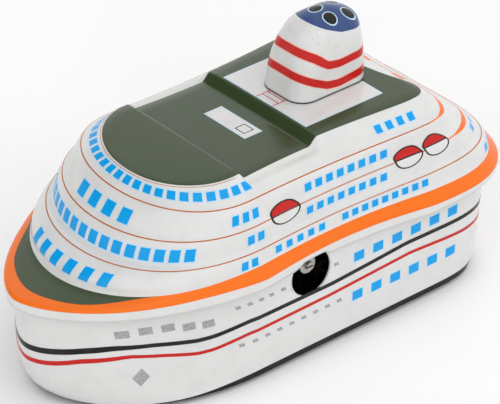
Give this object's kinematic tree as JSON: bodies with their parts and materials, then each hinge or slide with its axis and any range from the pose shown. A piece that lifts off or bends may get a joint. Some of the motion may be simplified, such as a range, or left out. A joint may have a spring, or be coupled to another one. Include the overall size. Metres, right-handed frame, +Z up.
{
  "type": "wind-up tinplate toy boat",
  "caption": "Wind-up tinplate cruise ship with a stepped deckhouse and one funnel, driven across the floor by a clockwork motor and hidden wheels.",
  "frame": {"origin": "on the floor, under the middle of the ship's length and beam", "axes": "+X towards the bow, +Y to port, where the key-hole is, +Z up"},
  "size_m": [0.1452, 0.0728, 0.0782],
  "materials": {
    "litho_hull": "glossy white printed tinplate with black and red waterlines and blue windows, scratched",
    "litho_decks": "glossy white printed tinplate with orange rim, dark green roof and foredeck, blue windows",
    "litho_funnel": "glossy white printed tinplate with two red bands and a blue top, chipped at the foot",
    "black_enamel": "glossy black enamel, chipped",
    "tinned_plate": "dull tinned steel sheet",
    "bright_steel": "turned bright steel",
    "brass_gear": "stamped brass",
    "spring_steel": "blued spring steel, oiled",
    "black_rubber": "matt black rubber"
  },
  "bodies": {
    "ship": {"hull_shell": "litho_hull", "base_pan": "black_enamel", "superstructure_shell": "litho_decks", "funnel": "litho_funnel", "motor_plate_port": "tinned_plate", "motor_plate_starboard": "tinned_plate", "frame_pillar_1": "bright_steel", "frame_pillar_2": "bright_steel", "frame_pillar_3": "bright_steel", "mainspring": "spring_steel", "front_axle_bracket": "tinned_plate", "motor_rivet_front_port": "bright_steel", "motor_rivet_front_starboard": "bright_steel", "motor_rivet_back_port": "bright_steel", "motor_rivet_back_starboard": "bright_steel", "bracket_rivet_port": "bright_steel", "bracket_rivet_starboard": "bright_steel"},
    "main_wheel": {"main_gear": "brass_gear", "click_pin": "bright_steel", "click_spring": "spring_steel"},
    "click_lever": {"click": "tinned_plate"},
    "winding": {"winding_arbor": "bright_steel", "ratchet_wheel": "bright_steel"},
    "intermediate": {"intermediate_arbor": "bright_steel", "intermediate_pinion": "bright_steel", "intermediate_gear": "brass_gear"},
    "drive": {"drive_axle": "bright_steel", "drive_pinion": "brass_gear", "drive_wheel_port": "tinned_plate", "drive_wheel_starboard": "tinned_plate", "drive_tyre_port": "black_rubber", "drive_tyre_starboard": "black_rubber"},
    "front": {"front_axle": "bright_steel", "front_wheel_port": "tinned_plate", "front_wheel_starboard": "tinned_plate", "front_tyre_port": "black_rubber", "front_tyre_starboard": "black_rubber"}
  },
  "joints": [
    {"name": "drive_spin", "type": "hinge", "parent": "ship", "child": "drive", "pos_m": [-0.0167, 0, 0.0084], "axis": [0, 1, 0], "continuous": true},
    {"name": "intermediate_spin", "type": "hinge", "parent": "ship", "child": "intermediate", "pos_m": [-0.011, 0, 0.01895], "axis": [0, 1, 0], "continuous": true},
    {"name": "main_wheel_spin", "type": "hinge", "parent": "ship", "child": "main_wheel", "pos_m": [0.003, 0, 0.0269], "axis": [0, 1, 0], "continuous": true},
    {"name": "winding_turn", "type": "hinge", "parent": "main_wheel", "child": "winding", "pos_m": [0.003, 0, 0.0269], "axis": [0, 1, 0], "range_deg": [0, 1800]},
    {"name": "click_lift", "type": "hinge", "parent": "main_wheel", "child": "click_lever", "pos_m": [0.0096, 0, 0.0313], "axis": [0, 1, 0], "range_deg": [0, 10], "stiffness_Nm_per_rad": 0.0005},
    {"name": "front_spin", "type": "hinge", "parent": "ship", "child": "front", "pos_m": [0.038, 0, 0.0084], "axis": [0, 1, 0], "continuous": true}
  ],
  "couplings": [
    {"joint": "intermediate_spin", "follows": "drive_spin", "ratio": -0.33333},
    {"joint": "main_wheel_spin", "follows": "drive_spin", "ratio": 0.092593}
  ]
}
